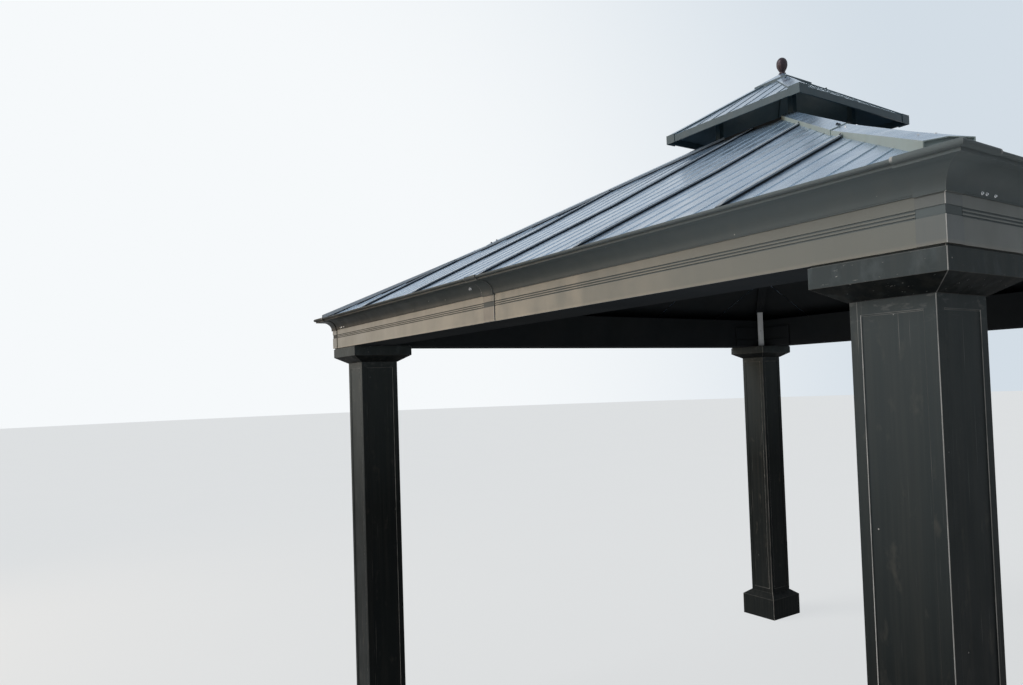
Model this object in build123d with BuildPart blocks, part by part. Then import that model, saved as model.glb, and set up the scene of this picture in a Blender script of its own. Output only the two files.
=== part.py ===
from build123d import *
from math import acos, atan2, cos, degrees, radians, sin
import os

# Square garden gazebo: four columns, moulded eaves and a ribbed metal roof in two tiers.
# Millimetres. The origin is on the ground in the middle, +Z is up and the front faces -Y.

# Plan
frieze_half = 1750.0            # middle to the frieze's outer face
column_setback = 60.0           # frieze face to the column's outer face
seam_pitch = 600.0              # between standing seams
seams_each_way = 2              # seams on each side of the middle one

# Columns
clear_height = 2075.0           # ground to the underside of the beams
column_width = 200.0
column_wall = 6.0
column_edge_radius = 3.0
panel_border = 28.0
panel_depth = 3.0
panel_edge_angle = 35.0
panel_end_gap = 30.0            # from the panel's end to the capital or the plinth

# Capitals and plinths
capital_width = 320.0
capital_face_height = 52.0
capital_taper_height = 34.0
capital_rebate = 5.0            # shadow line under the frieze
plinth_width = 300.0
plinth_face_height = 150.0
plinth_taper_height = 34.0
collar_land = 2.0               # flat left round the shaft at the thin end of a taper

# Beams
beam_width = 200.0
beam_inner_height = 200.0
beam_seat = 95.0                # sloping strip on top that the rafters lie on
beam_wall = 4.0

# Cornice sheet
sheet = 4.0
frieze_height = 100.0
groove_drop = 26.0              # frieze top to the first groove
groove_pitch = 7.5
groove_width = 4.0
groove_depth = 2.0
groove_count = 3
cove_step = 5.0                 # ledge between the frieze and the cove
cove_foot_height = 3.0          # thin fillet on that ledge
cove_foot_inset = 1.5
cove_radius = 46.0
lip_reach = 80.0                # frieze face to the outside of the lip
lip_radius = 4.5
lip_fillet_height = 7.0         # thin fillet under the rolled lip
lip_fillet_inset = 10.0
back_arc_turn = 70.0            # the sheet follows the cove this far round, in degrees
cornice_joint = 4.0             # gap between the two lengths of a side, under its cover

# Covers over the cornice
cover_gap = 0.3
cover_sheet = 2.7
cover_band_depth = 2.0
corner_cover_length = 140.0     # from the lip's corner
joint_cover_width = 80.0

# Inner corners
inner_cover_leg = 280.0
inner_cover_height = 145.0
inner_cover_sheet = 10.0
inner_cover_rail = 4.0          # how far the lower rail stands out
inner_cover_rail_height = 50.0
bracket_width = 44.0
bracket_gap = 5.0               # beam's underside to the bracket's foot

# Lower roof, measured on top of its panels
eaves_inset = 17.0              # lip to the panels' lower edge
seat_clearance = 0.3
lower_slope = 0.498
upper_slope = 0.53
slope_change_half = 1150.0      # middle to the change of pitch
panel_sheet = 6.0
panel_gap = 4.0                 # between neighbouring panels, under the caps
rib_pitch = 100.0
rib_width = 7.0
rib_height = 2.5
seam_width = 16.0
seam_height = 11.0
seam_sheet = 1.5
upstand_sheet = 2.0             # turned-up panel edges under the seam caps
upstand_height = 8.0
seam_nose = 55.0                # where a seam cap slopes down to the eaves

# Hip caps
hip_cap_width = 92.0
hip_cap_height = 15.0
hip_cap_sheet = 2.5
hip_cap_lap = 40.0              # how far the upper length reaches over the lower one
hip_cap_lap_inset = 40.0        # change of pitch to the upper length's lower end
hip_cap_foot_inset = 50.0       # lip to the lower end, along either side
hip_cap_foot_rise = 11.0        # how much deeper the side walls get down to the lower end

# Roof frame
hip_rafter_width = 60.0
mid_rafter_width = 45.0
rafter_depth = 30.0
ring_half = 250.0
ring_width = 40.0
ring_rise = 12.0                # above the panels round it
ring_drop = 60.0                # below the panels round it
post_width = 28.0

# Upper roof
cupola_half = 420.0
cupola_clearance = 9.0          # ring top to the fascia's lower edge
fascia_height = 28.0
fascia_sheet = 8.0
cupola_slope = 0.64
cupola_sheet = 5.0
cupola_panel_gap = 4.0
cupola_cap_width = 85.0
cupola_cap_height = 8.0
cupola_cap_sheet = 2.0
corner_cap_leg = 55.0
corner_cap_sheet = 3.0
corner_cap_overhang = 4.0
apex_cap_half = 100.0
apex_cap_height = 15.0
apex_flat_half = 18.0

# Finial
finial_height = 88.0
finial_radius = 27.5
finial_neck_radius = 16.0
finial_collar_radius = 21.0
finial_collar_height = 11.0
finial_collar_bevel = 3.0
finial_crown_height = 33.0      # egg's widest place to its top
lower_bands = 4
upper_bands = 5

# Places that follow from the sizes
column_centre = frieze_half - column_setback - column_width / 2
lip_half = frieze_half + lip_reach
frieze_top = clear_height + frieze_height
cove_bottom = frieze_top + cove_foot_height
cove_top = cove_bottom + cove_radius
lip_bottom = cove_top + lip_fillet_height
lip_top = lip_bottom + 2 * lip_radius
gutter_floor = cove_top + sheet
eaves_half = lip_half - eaves_inset
beam_face = frieze_half - sheet - groove_depth
beam_inner = beam_face - beam_width
seat_inner = beam_face - beam_seat
hip_cap_lap_half = slope_change_half - hip_cap_lap_inset
hip_cap_foot_half = lip_half - hip_cap_foot_inset
upper_cap_height = hip_cap_height + hip_cap_sheet + seat_clearance
upper_cap_width = hip_cap_width + 2 * (hip_cap_sheet + seat_clearance)
far = 2 * (lip_half + clear_height)

sides = ["front", "right", "back", "left"]
corners = ["front_right", "back_right", "back_left", "front_left"]


def roof_height(half):
    """Height of the lower roof's panels at a distance from the middle."""
    eaves = gutter_floor + seat_clearance + panel_sheet
    change = eaves + lower_slope * (eaves_half - slope_change_half)
    if half > slope_change_half:
        return change - lower_slope * (half - slope_change_half)
    return change + upper_slope * (slope_change_half - half)


def rafter_foot(half):
    """Height of the rafters' underside at a distance from the middle."""
    return roof_height(half) - panel_sheet - rafter_depth


ring_top = roof_height(ring_half) + ring_rise
fascia_bottom = ring_top + cupola_clearance
fascia_top = fascia_bottom + fascia_height


def cupola_height(half):
    """Height of the upper roof's panels at a distance from the middle."""
    return fascia_top + cupola_sheet + cupola_slope * (cupola_half - half)


def lower_band(low, high, inner, outer, nose=0.0):
    """Outline of a layer over the front slope, between two heights above the panels' top.

    Where it has a nose, its top slopes down to its underside over that length at the outer end.
    """
    halves = [inner, slope_change_half, outer]
    if outer <= slope_change_half or inner >= slope_change_half:
        halves = [inner, outer]
    under = [(-half, roof_height(half) + low) for half in halves]
    halves[-1] -= nose
    over = [(-half, roof_height(half) + high) for half in reversed(halves)]
    return under + over


def cupola_band(low, high, inner, outer):
    """The same over the front slope of the upper roof."""
    return [
        (-inner, cupola_height(inner) + low),
        (-outer, cupola_height(outer) + low),
        (-outer, cupola_height(outer) + high),
        (-inner, cupola_height(inner) + high),
    ]


def front_layer(outline):
    """A layer of the front slope, run along X well past both hips."""
    with BuildPart() as layer:
        with BuildSketch(Plane.YZ):
            Polygon(*outline, align=None)
        extrude(amount=far, both=True)
    return layer.part


def mitred(layer, gap=0.0):
    """The part of a front layer between the two hips, set back from each by a gap."""
    back = gap * 2 ** 0.5
    with BuildPart() as wedge:
        add(layer)
        with BuildSketch():
            Polygon((0, -back), (-far, -far - back), (far, -far - back), align=None)
        extrude(amount=far, mode=Mode.INTERSECT)
    return wedge.part


def hip_strip(layer, width):
    """The part of a front layer along its right hip, joined to its mirror image across it."""
    reach = width / 2 ** 0.5
    with BuildPart() as strip:
        add(layer)
        with BuildSketch():
            Polygon((0, 0), (far, -far), (far - reach, -far), (0, -reach), align=None)
        extrude(amount=far, mode=Mode.INTERSECT)
        mirror(about=Plane(origin=(0, 0, 0), z_dir=(1, 1, 0)))
    return strip.part


def fold_reach(width):
    """How much further out a cap's folds lie than its ridge, in each of the two slopes' own directions."""
    return width / 8 ** 0.5


def hip_profile(half, ridge, fold, width):
    """A section across the right hip at a distance from the middle: a low gable on two deep walls."""
    across = Plane(origin=(half, -half, 0), x_dir=(-1, -1, 0), z_dir=(-1, 1, 0))
    with BuildSketch(across) as profile:
        Polygon(
            (-width / 2, clear_height),
            (width / 2, clear_height),
            (width / 2, fold),
            (0, ridge),
            (-width / 2, fold),
            align=None,
        )
    return profile.sketch


def hip_channel(core, height, width, side_sheet, stations):
    """A bent sheet along the right hip, cut square to it at both ends, on the roof below it.

    height gives the roof's height at a distance from the middle, and each station is a section: its
    distance from the middle, and how far its ridge and its folds stand above the roof.
    """
    outer = []
    inner = []
    for half, ridge_rise, fold_rise in stations:
        ridge = height(half) + ridge_rise
        fold = height(half + fold_reach(width)) + fold_rise
        inner_fold = fold + (ridge - fold) * side_sheet / (width / 2) - side_sheet
        outer.append(hip_profile(half, ridge, fold, width))
        inner.append(hip_profile(half, ridge - side_sheet, inner_fold, width - 2 * side_sheet))
    with BuildPart() as channel:
        loft(outer, ruled=True)
        loft(inner, ruled=True, mode=Mode.SUBTRACT)
        add(core, mode=Mode.SUBTRACT)
    return channel.part


def between(shape, inner, outer):
    """The part of a piece between two squares round the middle, seen from above."""
    with BuildPart() as piece:
        add(shape)
        with BuildSketch():
            Rectangle(2 * outer, 2 * outer)
            Rectangle(2 * inner, 2 * inner, mode=Mode.SUBTRACT)
        extrude(amount=far, mode=Mode.INTERSECT)
    return piece.part


def roof_core(outline):
    """All that lies under both the front slope and the right slope of an outline."""
    layer = front_layer(outline)
    with BuildPart() as core:
        add(layer)
        add(turned(layer, 1), mode=Mode.INTERSECT)
    return core.part


def slope_strips(layer, places, width):
    """The parts of a front layer along lines that run straight down the slope."""
    with BuildPart() as strips:
        add(layer)
        with BuildSketch():
            with Locations(*[(x, -far / 2) for x in places]):
                Rectangle(width, far)
        extrude(amount=far, mode=Mode.INTERSECT)
    return strips.part


def turned(shape, quarters):
    """A copy of a piece, turned about the middle of the gazebo."""
    with BuildPart() as copy:
        with Locations(Location((0, 0, 0), (0, 0, 90 * quarters))):
            add(shape)
    return copy.part


def all_round(shape):
    """Four copies of a piece, one for each side or corner."""
    with BuildPart() as group:
        for quarters in range(4):
            with Locations(Location((0, 0, 0), (0, 0, 90 * quarters))):
                add(shape)
    return group.part


def write(name, shape):
    """Give a piece its name and write it."""
    shape.label = name
    export_step(shape, f"parts/{name}.step")


os.makedirs("parts", exist_ok=True)

# Column: a square tube with a recessed panel on each face
panel_width = column_width - 2 * panel_border
panel_bottom = plinth_face_height + plinth_taper_height + panel_end_gap
panel_top = clear_height - capital_face_height - capital_taper_height - panel_end_gap
column_axis = (column_centre, -column_centre)

with BuildPart() as column:
    with BuildSketch():
        with Locations(column_axis):
            RectangleRounded(column_width, column_width, column_edge_radius)
            Rectangle(
                column_width - 2 * column_wall,
                column_width - 2 * column_wall,
                mode=Mode.SUBTRACT,
            )
    extrude(amount=clear_height)
    for direction in ((0, -1, 0), (1, 0, 0), (0, 1, 0), (-1, 0, 0)):
        panel_middle = (*column_axis, (panel_bottom + panel_top) / 2)
        face_plane = Plane(origin=panel_middle, x_dir=(0, 0, 1), z_dir=direction)
        with BuildSketch(face_plane.offset(column_width / 2)):
            Rectangle(panel_top - panel_bottom, panel_width)
        extrude(amount=-panel_depth, taper=panel_edge_angle, mode=Mode.SUBTRACT)


def collar(width, face_height, taper_height, wide_end, direction):
    """A square sleeve on the column: an upright face and a taper that runs in to the shaft."""
    run_in = (width - column_width) / 2 - collar_land
    with BuildPart() as sleeve:
        with BuildSketch(Plane.XY.offset(wide_end)):
            with Locations(column_axis):
                Rectangle(width, width)
        extrude(amount=direction * face_height)
        with BuildSketch(Plane.XY.offset(wide_end + direction * face_height)):
            with Locations(column_axis):
                Rectangle(width, width)
        extrude(amount=direction * taper_height, taper=degrees(atan2(run_in, taper_height)))
        with BuildSketch(Plane.XY.offset(wide_end)):
            with Locations(column_axis):
                Rectangle(column_width, column_width)
        extrude(amount=direction * (face_height + taper_height), mode=Mode.SUBTRACT)
    return sleeve.part


plinth = collar(plinth_width, plinth_face_height, plinth_taper_height, 0, 1)

# Capital: its top is set in a little, which leaves a shadow line under the frieze
with BuildPart() as capital:
    add(collar(capital_width, capital_face_height, capital_taper_height, clear_height, -1))
    with BuildSketch(Plane.XY.offset(clear_height)):
        with Locations(column_axis):
            Rectangle(capital_width, capital_width)
            Rectangle(
                capital_width - 2 * capital_rebate,
                capital_width - 2 * capital_rebate,
                mode=Mode.SUBTRACT,
            )
    extrude(amount=-capital_rebate, mode=Mode.SUBTRACT)

# Beam: a hollow box along each side, mitred at the corners
with BuildPart() as beam_run:
    with BuildSketch(Plane.YZ):
        with BuildLine():
            Polyline(
                (-beam_face, clear_height),
                (-beam_inner, clear_height),
                (-beam_inner, clear_height + beam_inner_height),
                (-seat_inner, rafter_foot(seat_inner)),
                (-beam_face, rafter_foot(beam_face)),
                close=True,
            )
        make_face()
        offset(amount=-beam_wall, kind=Kind.INTERSECTION, mode=Mode.SUBTRACT)
    extrude(amount=far, both=True)
beam = mitred(beam_run.part)

cove_middle = -frieze_half - cove_step - cove_radius


def moulding_line(proud, recesses):
    """The cornice's face from its foot to the lip, moved outwards, with (bottom, top, depth) recesses."""
    face = -frieze_half - proud
    cove_face = face - cove_step
    foot_face = cove_face if proud else cove_face + cove_foot_inset
    fillet_face = -lip_half + lip_fillet_inset - proud
    lip_centre = (-lip_half + lip_radius, lip_bottom + lip_radius)
    points = [(face, clear_height)]
    for bottom, top, depth in recesses:
        points += [(face, bottom), (face + depth, bottom), (face + depth, top), (face, top)]
    points += [(face, frieze_top - proud), (foot_face, frieze_top - proud), (foot_face, cove_bottom)]
    if not proud:
        points += [(cove_face, cove_bottom)]
    with BuildLine() as line:
        Polyline(*points)
        CenterArc((cove_middle, cove_bottom), cove_radius - proud, 0, 90)
        Polyline(
            (cove_middle, cove_top - proud),
            (fillet_face, cove_top - proud),
            (fillet_face, lip_bottom - proud),
            (lip_centre[0], lip_bottom - proud),
        )
        CenterArc(lip_centre, lip_radius + proud, 270, -180)
    return line.line


# Cornice: one bent sheet with a grooved frieze, a cove and a rolled lip, in two lengths to a side
groove_top = frieze_top - groove_drop
grooves = [
    (groove_top - i * groove_pitch - groove_width, groove_top - i * groove_pitch, groove_depth)
    for i in reversed(range(groove_count))
]
cornice_line = moulding_line(0, grooves)
back_arc = CenterArc((cove_middle, cove_bottom), cove_radius + sheet, 90, -back_arc_turn)
lip_back = -lip_half + lip_fillet_inset + sheet

with BuildPart() as cornice_run:
    with BuildSketch(Plane.YZ):
        with BuildLine():
            add(cornice_line)
            Polyline(
                (-lip_half + lip_radius, lip_top),
                (lip_back, lip_top),
                (lip_back, gutter_floor),
                (cove_middle, gutter_floor),
            )
            add(back_arc)
            Polyline(
                back_arc @ 1,
                (-beam_face, (back_arc @ 1).Y),
                (-beam_face, clear_height),
                (-frieze_half, clear_height),
            )
        make_face()
    extrude(amount=far, both=True)

with BuildPart() as cornice:
    add(mitred(cornice_run.part))
    with BuildSketch():
        with Locations((0, -frieze_half)):
            Rectangle(cornice_joint, lip_half)
    extrude(amount=far, mode=Mode.SUBTRACT)

# Covers: a skin outside the cornice, with one plain band in place of the grooves
cover_band = [(grooves[0][0], grooves[-1][1], cover_band_depth)]
cover_back = moulding_line(cover_gap, [])
cover_front = moulding_line(cover_gap + cover_sheet, cover_band)

with BuildPart() as cover_run:
    with BuildSketch(Plane.YZ):
        with BuildLine():
            add(cover_back)
            add(cover_front)
            Line(cover_back @ 0, cover_front @ 0)
            Line(cover_back @ 1, cover_front @ 1)
        make_face()
    extrude(amount=far, both=True)

corner_cover_start = lip_half - corner_cover_length
with BuildPart() as corner_cover:
    add(cover_run.part)
    with BuildSketch():
        Polygon(
            (corner_cover_start, -corner_cover_start),
            (corner_cover_start, -far),
            (far, -far),
            align=None,
        )
    extrude(amount=far, mode=Mode.INTERSECT)
    mirror(about=Plane(origin=(0, 0, 0), z_dir=(1, 1, 0)))

with BuildPart() as joint_cover:
    add(cover_run.part)
    with BuildSketch():
        with Locations((0, -lip_half)):
            Rectangle(joint_cover_width, lip_half)
    extrude(amount=far, mode=Mode.INTERSECT)

# Inner corner: a cover with a stouter lower rail, and the bare bracket under the hip rafter
with BuildPart() as inner_cover:
    for height, thickness in (
        (inner_cover_height, inner_cover_sheet),
        (inner_cover_rail_height, inner_cover_sheet + inner_cover_rail),
    ):
        with BuildSketch(Plane.XY.offset(clear_height)):
            with BuildLine():
                Polyline(
                    (beam_inner, -beam_inner),
                    (beam_inner, -beam_inner + inner_cover_leg),
                    (beam_inner - thickness, -beam_inner + inner_cover_leg),
                    (beam_inner - thickness, -beam_inner + thickness),
                    (beam_inner - inner_cover_leg, -beam_inner + thickness),
                    (beam_inner - inner_cover_leg, -beam_inner),
                    close=True,
                )
            make_face()
        extrude(amount=height)

bracket_corner = beam_inner - inner_cover_sheet - inner_cover_rail
bracket_leg = bracket_width / 2 ** 0.5
bracket_foot = clear_height + bracket_gap
bracket_top = rafter_foot(bracket_corner)
with BuildPart() as bracket:
    with BuildSketch(Plane.XY.offset(bracket_foot)):
        Polygon(
            (bracket_corner, -bracket_corner),
            (bracket_corner, -bracket_corner + bracket_leg),
            (bracket_corner - bracket_leg, -bracket_corner),
            align=None,
        )
    extrude(amount=bracket_top - bracket_foot)

# Lower roof: six ribbed panels to a side, with caps over their standing seams
seams = [i * seam_pitch for i in range(-seams_each_way, seams_each_way + 1)]
panel_edges = [-far] + seams + [far]
rib_count = int(eaves_half / rib_pitch)
ribs = [
    i * rib_pitch
    for i in range(-rib_count, rib_count + 1)
    if min(abs(i * rib_pitch - seam) for seam in seams) > rib_pitch / 2
]
upstand_offset = (panel_gap + upstand_sheet) / 2
upstands = [seam + side * upstand_offset for seam in seams for side in (-1, 1)]
hip_clear = upper_cap_width / 2 + seat_clearance

with BuildPart() as roof_panels:
    add(mitred(front_layer(lower_band(-panel_sheet, 0, ring_half, eaves_half)), panel_gap))
    with BuildSketch():
        for left, right in zip(panel_edges, panel_edges[1:]):
            with Locations(((left + right) / 2, -far / 2)):
                Rectangle(right - left - panel_gap, far)
    extrude(amount=far, mode=Mode.INTERSECT)

rib_layer = mitred(front_layer(lower_band(0, rib_height, ring_half, eaves_half)), hip_clear)
upstand_layer = mitred(
    front_layer(lower_band(0, upstand_height, ring_half, eaves_half - seam_nose)), hip_clear
)
with BuildPart() as ribbed_panels:
    add(roof_panels.part)
    add(slope_strips(rib_layer, ribs, rib_width))
    add(slope_strips(upstand_layer, upstands, upstand_sheet))

seam_layer = mitred(front_layer(lower_band(0, seam_height, ring_half, eaves_half, seam_nose)), hip_clear)
seam_hollow = front_layer(
    lower_band(-seam_sheet, seam_height - seam_sheet, ring_half, eaves_half - seam_nose)
)
with BuildPart() as seam_caps:
    add(slope_strips(seam_layer, seams, seam_width))
    add(slope_strips(seam_hollow, seams, seam_width - 2 * seam_sheet), mode=Mode.SUBTRACT)

# Hip caps: the upper length reaches over the lower one, whose walls deepen towards the eaves
lower_core = roof_core(lower_band(-clear_height, 0, 0, far))
lower_bend_half = slope_change_half - fold_reach(hip_cap_width)
lower_hip_cap = hip_channel(
    lower_core, roof_height, hip_cap_width, hip_cap_sheet,
    [
        (hip_cap_lap_half - hip_cap_lap, hip_cap_height, hip_cap_height),
        (lower_bend_half, hip_cap_height, hip_cap_height),
        (hip_cap_foot_half, hip_cap_height, hip_cap_height + hip_cap_foot_rise),
    ],
)
upper_hip_cap = hip_channel(
    lower_core, roof_height, upper_cap_width, hip_cap_sheet,
    [
        (ring_half - upper_cap_width, upper_cap_height, upper_cap_height),
        (hip_cap_lap_half, upper_cap_height, upper_cap_height),
    ],
)
upper_hip_cap = between(upper_hip_cap, ring_half, far)

# Roof frame: rafters under the panels, and a square ring with four posts at the top
rafter_layer = front_layer(lower_band(-panel_sheet - rafter_depth, -panel_sheet, ring_half, beam_face))
hip_rafter = hip_strip(rafter_layer, hip_rafter_width)
mid_rafter = slope_strips(rafter_layer, [0], mid_rafter_width)

with BuildPart() as ring:
    with BuildSketch(Plane.XY.offset(roof_height(ring_half) - ring_drop)):
        Rectangle(2 * ring_half, 2 * ring_half)
        Rectangle(2 * (ring_half - ring_width), 2 * (ring_half - ring_width), mode=Mode.SUBTRACT)
    extrude(amount=ring_drop + ring_rise)

cupola_over = front_layer(cupola_band(-cupola_sheet, far, 0, cupola_half))
post_centre = ring_half - ring_width / 2
with BuildPart() as post:
    with BuildSketch(Plane.XY.offset(ring_top)):
        with Locations((post_centre, -post_centre)):
            Rectangle(post_width, post_width)
    extrude(amount=cupola_half)
    add(cupola_over, mode=Mode.SUBTRACT)
    add(turned(cupola_over, 1), mode=Mode.SUBTRACT)

# Upper roof: panels on a square fascia, with caps on its corners, hips and apex
cupola_layer = front_layer(cupola_band(-cupola_sheet, 0, apex_flat_half, cupola_half))
cupola_rib_layer = front_layer(cupola_band(0, rib_height, apex_cap_half, cupola_half))
cupola_rib_count = int(cupola_half / rib_pitch)
cupola_ribs = [i * rib_pitch for i in range(-cupola_rib_count, cupola_rib_count + 1)]
with BuildPart() as cupola_panel:
    add(mitred(cupola_layer, cupola_panel_gap))
    add(
        slope_strips(
            mitred(cupola_rib_layer, cupola_cap_width / 2 + seat_clearance), cupola_ribs, rib_width
        )
    )
cupola_hip_cap = hip_channel(
    roof_core(cupola_band(-clear_height, 0, 0, far)), cupola_height, cupola_cap_width, cupola_cap_sheet,
    [
        (apex_cap_half - cupola_cap_width, cupola_cap_height, cupola_cap_height),
        (cupola_half + cupola_cap_width, cupola_cap_height, cupola_cap_height),
    ],
)
cupola_hip_cap = between(cupola_hip_cap, apex_cap_half, cupola_half)
apex_layer = front_layer(cupola_band(0, apex_cap_height, apex_flat_half, apex_cap_half))

with BuildPart() as fascia_run:
    with BuildSketch(Plane.YZ):
        Polygon(
            (-cupola_half, fascia_bottom),
            (-cupola_half + fascia_sheet, fascia_bottom),
            (-cupola_half + fascia_sheet, cupola_height(cupola_half - fascia_sheet) - cupola_sheet),
            (-cupola_half, cupola_height(cupola_half) - cupola_sheet),
            align=None,
        )
    extrude(amount=far, both=True)
fascia_side = mitred(fascia_run.part)

with BuildPart() as corner_cap:
    with BuildSketch(Plane.XY.offset(fascia_bottom - corner_cap_overhang)):
        with BuildLine():
            Polyline(
                (cupola_half, -cupola_half),
                (cupola_half, -cupola_half + corner_cap_leg),
                (cupola_half + corner_cap_sheet, -cupola_half + corner_cap_leg),
                (cupola_half + corner_cap_sheet, -cupola_half - corner_cap_sheet),
                (cupola_half - corner_cap_leg, -cupola_half - corner_cap_sheet),
                (cupola_half - corner_cap_leg, -cupola_half),
                close=True,
            )
        make_face()
    extrude(amount=corner_cap_overhang + fascia_height + cupola_sheet + cupola_cap_height)

# Apex cap: four slopes closed by a small flat that carries the finial
apex_side = mitred(apex_layer)
apex_flat = cupola_height(apex_flat_half) + apex_cap_height
with BuildPart() as apex_cap:
    for quarters in range(4):
        add(turned(apex_side, quarters))
    with BuildSketch(Plane.XY.offset(apex_flat)):
        Rectangle(2 * apex_flat_half, 2 * apex_flat_half)
    extrude(amount=-apex_cap_height)

# Finial: an egg on a collar and a neck, turned in plain bands that follow two half ellipses
egg_bottom = apex_flat + finial_collar_height
egg_waist = apex_flat + finial_height - finial_crown_height
neck_angle = acos(finial_neck_radius / finial_radius)
egg_drop = (egg_waist - egg_bottom) / sin(neck_angle)
lower_angles = [-neck_angle * (1 - i / lower_bands) for i in range(lower_bands)]
upper_angles = [radians(90) * i / upper_bands for i in range(upper_bands)]
egg = [(finial_radius * cos(a), egg_waist + egg_drop * sin(a)) for a in lower_angles]
egg += [(finial_radius * cos(a), egg_waist + finial_crown_height * sin(a)) for a in upper_angles]
with BuildPart() as finial:
    with BuildSketch(Plane.XZ):
        Polygon(
            (0, apex_flat),
            (finial_collar_radius, apex_flat),
            (finial_collar_radius, egg_bottom - finial_collar_bevel),
            *egg,
            (0, apex_flat + finial_height),
            align=None,
        )
    revolve(axis=Axis.Z)

for quarters, corner in enumerate(corners):
    write(f"column_{corner}", turned(column.part, quarters))
    write(f"plinth_{corner}", turned(plinth, quarters))
    write(f"capital_{corner}", turned(capital.part, quarters))

for quarters, side in enumerate(sides):
    write(f"beam_{side}", turned(beam, quarters))
    write(f"cornice_{side}", turned(cornice.part, quarters))
    write(f"roof_panels_{side}", turned(ribbed_panels.part, quarters))
    write(f"seam_caps_{side}", turned(seam_caps.part, quarters))

write("corner_covers", all_round(corner_cover.part))
write("joint_covers", all_round(joint_cover.part))
write("inner_corner_covers", all_round(inner_cover.part))
write("foot_brackets", all_round(bracket.part))
write("hip_caps_lower", all_round(lower_hip_cap))
write("hip_caps_upper", all_round(upper_hip_cap))
write("hip_rafters", all_round(hip_rafter))
write("mid_rafters", all_round(mid_rafter))
write("top_ring", ring.part)
write("vent_posts", all_round(post.part))
write("cupola_panels", all_round(cupola_panel.part))
write("cupola_fascia", all_round(fascia_side))
write("cupola_corner_caps", all_round(corner_cap.part))
write("cupola_hip_caps", all_round(cupola_hip_cap))
write("apex_cap", apex_cap.part)
write("finial", finial.part)
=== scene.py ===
"""A square garden gazebo with a two-tier metal roof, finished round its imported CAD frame.

Every piece is in metres, with the origin on the ground in the middle, +Z up and the front facing -Y.
"""

import math

import bmesh
import bpy
from mathutils import Matrix, Vector


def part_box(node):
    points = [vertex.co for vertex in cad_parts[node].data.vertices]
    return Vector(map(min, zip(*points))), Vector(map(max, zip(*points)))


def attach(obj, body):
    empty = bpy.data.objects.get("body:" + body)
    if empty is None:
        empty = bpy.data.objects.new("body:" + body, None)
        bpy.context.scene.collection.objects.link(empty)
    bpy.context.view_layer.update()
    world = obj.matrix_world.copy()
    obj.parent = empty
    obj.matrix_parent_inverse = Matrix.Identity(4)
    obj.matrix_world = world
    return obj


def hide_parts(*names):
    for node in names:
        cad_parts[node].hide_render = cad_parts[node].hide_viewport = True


bl_info = {
    "name": "Metal Gazebo",
    "version": (1, 0, 0),
    "blender": (4, 5, 0),
    "location": "View3D > Sidebar > Gazebo",
    "description": "Finishes the pieces of a square metal gazebo",
    "category": "Object",
}

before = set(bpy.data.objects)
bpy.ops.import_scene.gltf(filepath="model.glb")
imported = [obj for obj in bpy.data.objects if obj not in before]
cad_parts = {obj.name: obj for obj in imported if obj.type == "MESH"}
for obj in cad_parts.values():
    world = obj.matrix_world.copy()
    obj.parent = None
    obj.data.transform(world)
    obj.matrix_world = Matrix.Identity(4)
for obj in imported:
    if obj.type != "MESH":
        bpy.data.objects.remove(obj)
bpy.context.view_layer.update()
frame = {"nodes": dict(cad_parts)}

SIDES = ("front", "right", "back", "left")
CORNERS = ("front_right", "back_right", "back_left", "front_left")
MM = 0.001

# Places read from the frame
column_low, column_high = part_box("column_front_right")
COLUMN_AXIS = (column_low.x + column_high.x) / 2
COLUMN_CORNER = column_high.x
cornice_low, cornice_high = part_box("cornice_front")
FRIEZE_FOOT = cornice_low.z
LIP_TOP = cornice_high.z
EAVES_HALF = -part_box("roof_panels_front")[0].y
UPPER_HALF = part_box("cupola_panels")[1].x
BRACKET_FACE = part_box("foot_brackets")[1].x
finial_low, finial_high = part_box("finial")

# Places on the columns, the cornice and the roof that boxes don't give
TAPER_TOP = 2023 * MM
TAPER_FOOT = 1989 * MM
FRIEZE_TOP = FRIEZE_FOOT + 100 * MM
FRIEZE_HALF = 1750 * MM
BAND_FOOT = FRIEZE_TOP - 45 * MM
BAND_TOP = FRIEZE_TOP - 26 * MM
COVER_HALF = FRIEZE_HALF + 3 * MM
COVER_START = 1690 * MM
JOINT_COVER_HALF = 40 * MM
COVE_RADIUS = 46 * MM
COVE_AXIS_HALF = 1801 * MM
COVE_AXIS_HEIGHT = 2178 * MM
EAVES_TOP = 2234.3 * MM
BEND_HALF = 1150 * MM
LOWER_SLOPE = 0.498
UPPER_SLOPE = 0.53
UPPER_ROOF_SLOPE = 0.64
UPPER_ROOF_FOOT = 3095.5 * MM
SEAMS = (-1200 * MM, -600 * MM, 0.0, 600 * MM, 1200 * MM)
# Height up a seam where its painted shade gives way to painted light
SEAM_SHADE_HEIGHT = 6.5 * MM
CAP_SIDE_REACH = 66.5 * MM
CAP_FOOT_HALF = 1780 * MM
CAP_FOOT_REACH = 31 * MM

# Parts of a face's normal that tell which way it looks
DOWNWARD = -0.3
SKYWARD = 0.6
RIB_SIDE = 0.2

# Places of screws: along a side, out from the middle, up, or over the sheet
NOSE_SCREW_OFFSET = 17 * MM
NOSE_SCREW_INSET = 12 * MM
HIP_SCREW_OFFSET = 16 * MM
LAP_SCREWS = ((1078 * MM, 15.7 * MM), (1100 * MM, 15.7 * MM))
FOOT_SCREWS = ((1168 * MM, 13.6 * MM), (1690 * MM, 15.5 * MM))
SEAM_TOP_SCREW_LIFT = 9 * MM
CORNER_COVER_SCREWS = (2183 * MM, (-1618 * MM, -1600 * MM, -1565 * MM))
JOINT_COVER_SCREWS = (2211 * MM, (-108 * MM,))
UPPER_CAP_SCREW_HALF = 150 * MM
UPPER_CAP_SCREW_OFFSET = 9 * MM
UPPER_CAP_SCREW_LIFT = 6.8 * MM
BRACKET_SCREW_INSET = 15.6 * MM
BRACKET_SCREW_HEIGHT = 2195 * MM

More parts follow.
